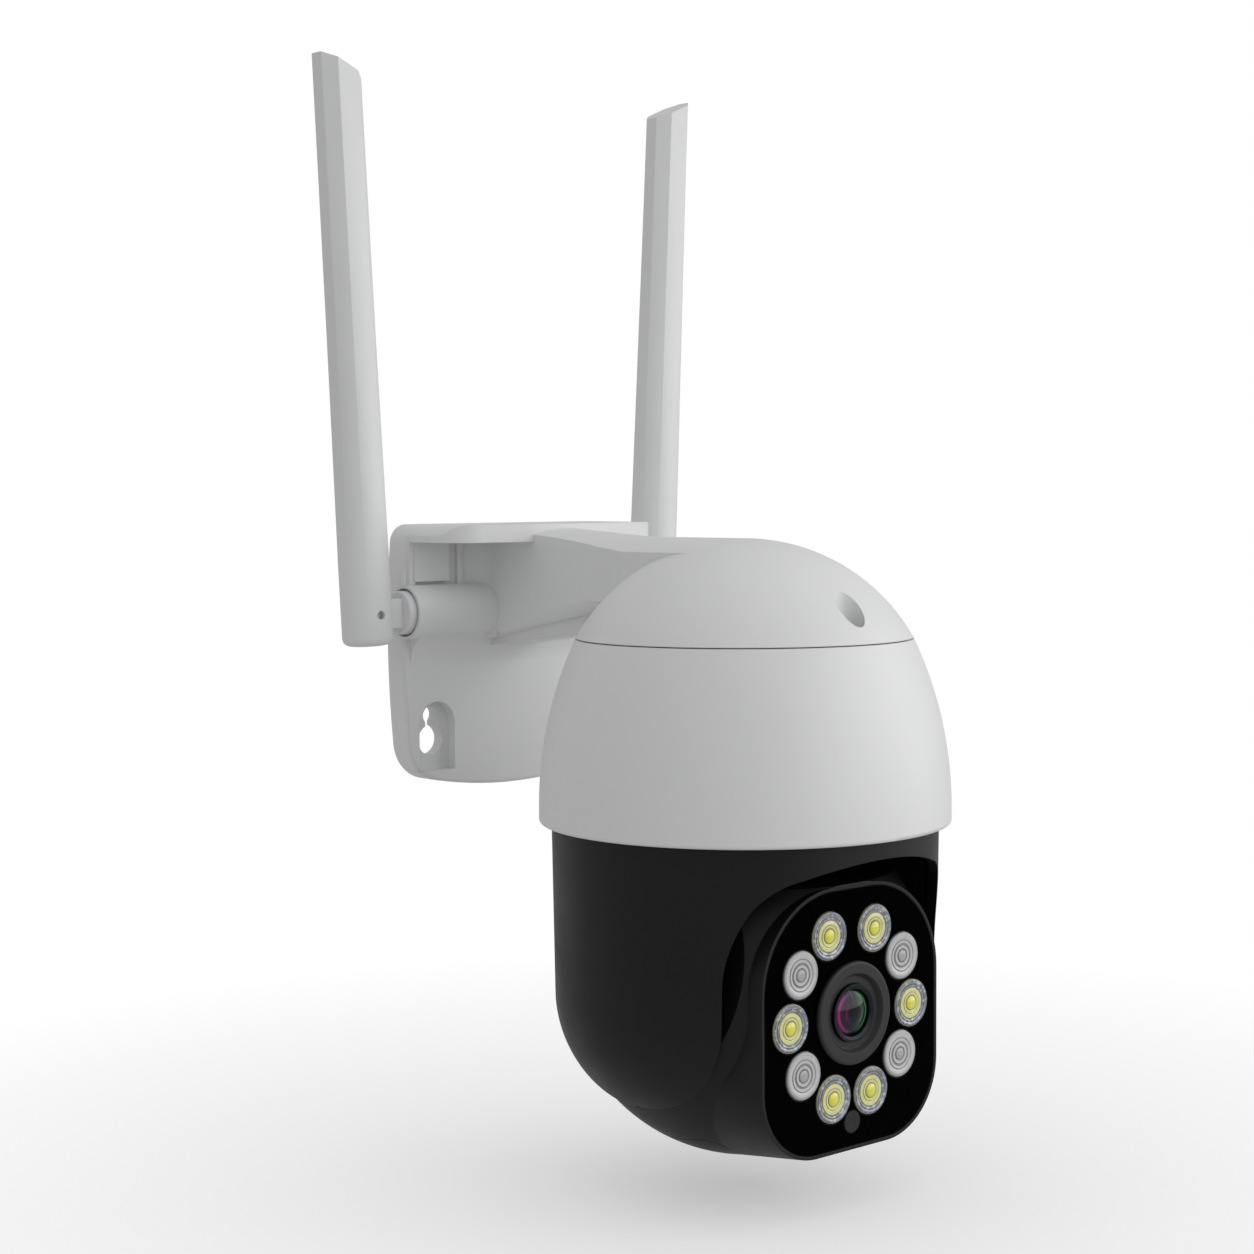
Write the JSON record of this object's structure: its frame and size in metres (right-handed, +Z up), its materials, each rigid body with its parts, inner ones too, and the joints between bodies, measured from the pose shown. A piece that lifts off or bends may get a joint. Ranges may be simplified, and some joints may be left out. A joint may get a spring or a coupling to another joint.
{
  "type": "security camera",
  "caption": "Wall-mounted pan and tilt security camera with a domed arm bracket, lamp-ringed lens head and two folding antennas.",
  "frame": {"origin": "on the wall plane, midway between the two wall screws' seats in the back plate", "axes": "+Z up, -Y out of the wall, towards the camera's front at rest, +X to the right seen from the front"},
  "size_m": [0.137, 0.1609, 0.2972],
  "materials": {
    "white_shell": "satin moulded ABS",
    "antenna_white": "satin moulded ABS",
    "black_shell": "fine satin moulded ABS",
    "black_inner": "matt moulded ABS",
    "face_gloss": "polished acrylic",
    "lens_bezel": "fine matt",
    "barrel_black": "black anodised",
    "optic_glass": "coated",
    "white_lamp": "clear moulded",
    "infrared_lamp": "clear moulded",
    "chip_yellow": "phosphor",
    "board_green": "solder mask",
    "part_dark": "matt",
    "steel": "bright zinc",
    "brass": "machined",
    "gear_white": "acetal",
    "rubber_dark": "matt",
    "shield_metal": "tin plated"
  },
  "bodies": {
    "root": {"wall_bracket": "white_shell", "dome_shell": "white_shell", "seam_seal": "rubber_dark", "chassis": "black_inner", "pan_motor": "steel", "pan_bearing": "steel", "main_board": "board_green", "board_parts": "part_dark", "wifi_module": "shield_metal", "chassis_screws": "steel", "board_screws": "steel", "front_cap_screw": "steel", "rear_cap_screws": "steel", "cable_grommet": "rubber_dark", "wall_gasket": "rubber_dark"},
    "pan": {"pan_housing": "black_shell", "turntable": "black_inner", "turntable_screws": "steel", "pan_gear": "gear_white", "spindle_clip": "steel", "tilt_motor": "steel", "cheek_plate_left": "black_inner", "cheek_plate_right": "black_inner", "tilt_bush_left": "gear_white", "tilt_bush_right": "gear_white"},
    "tilt": {"head_shell": "black_shell", "hatch_cover": "black_shell", "hatch_screws": "steel", "face_panel": "face_gloss", "panel_seal": "rubber_dark", "white_led_lenses": "white_lamp", "infrared_led_lenses": "infrared_lamp", "led_chips": "chip_yellow", "led_board": "board_green", "lens_ring": "lens_bezel", "lens_barrel": "barrel_black", "lens_glass": "optic_glass", "lens_holder": "part_dark", "sensor_board": "board_green", "sensor_standoffs": "brass", "light_sensor": "optic_glass", "card_board": "board_green", "card_socket": "shield_metal", "memory_card": "part_dark", "reset_switch": "part_dark", "trunnion_left": "part_dark", "trunnion_right": "part_dark", "tilt_gear": "gear_white"},
    "pan_pinion_shaft": {"pan_pinion": "brass"},
    "tilt_pinion_shaft": {"tilt_pinion": "brass"},
    "reset": {"reset_button": "part_dark"},
    "left_knuckle": {"antenna_swivel_left": "antenna_white", "swivel_nut_left": "brass"},
    "left_antenna": {"antenna_blade_left": "antenna_white", "hinge_pin_left": "steel"},
    "right_knuckle": {"antenna_swivel_right": "antenna_white", "swivel_nut_right": "brass"},
    "right_antenna": {"antenna_blade_right": "antenna_white", "hinge_pin_right": "steel"}
  },
  "joints": [
    {"name": "pan", "type": "hinge", "parent": "root", "child": "pan", "pos_m": [0, -0.106, -0.023], "axis": [0, 0, 1], "range_deg": [-175, 175]},
    {"name": "tilt", "type": "hinge", "parent": "pan", "child": "tilt", "pos_m": [0, -0.106, -0.0635], "axis": [1, 0, 0], "range_deg": [0, 75]},
    {"name": "pan_pinion_spin", "type": "hinge", "parent": "root", "child": "pan_pinion_shaft", "pos_m": [0, -0.076, -0.023], "axis": [0, 0, 1], "range_deg": [-700, 700]},
    {"name": "tilt_pinion_spin", "type": "hinge", "parent": "pan", "child": "tilt_pinion_shaft", "pos_m": [0, -0.095, -0.04445], "axis": [1, 0, 0], "range_deg": [-300, 0]},
    {"name": "reset_press", "type": "slide", "parent": "tilt", "child": "reset", "axis": [0, 0, 1], "range_m": [0, 0.0004], "stiffness_N_per_m": 600},
    {"name": "left_swivel", "type": "hinge", "parent": "root", "child": "left_knuckle", "pos_m": [-0.054, -0.0095, 0.0306], "axis": [1, 0, 0], "range_deg": [0, 90]},
    {"name": "left_fold", "type": "hinge", "parent": "left_knuckle", "child": "left_antenna", "pos_m": [-0.054, -0.0095, 0.0306], "axis": [0, -1, 0], "range_deg": [-2.9, 87]},
    {"name": "right_swivel", "type": "hinge", "parent": "root", "child": "right_knuckle", "pos_m": [0.054, -0.0095, 0.0306], "axis": [1, 0, 0], "range_deg": [0, 90]},
    {"name": "right_fold", "type": "hinge", "parent": "right_knuckle", "child": "right_antenna", "pos_m": [0.054, -0.0095, 0.0306], "axis": [0, 1, 0], "range_deg": [-2.9, 87]}
  ],
  "couplings": [
    {"joint": "pan_pinion_spin", "follows": "pan", "ratio": -4},
    {"joint": "tilt_pinion_spin", "follows": "tilt", "ratio": -4}
  ]
}
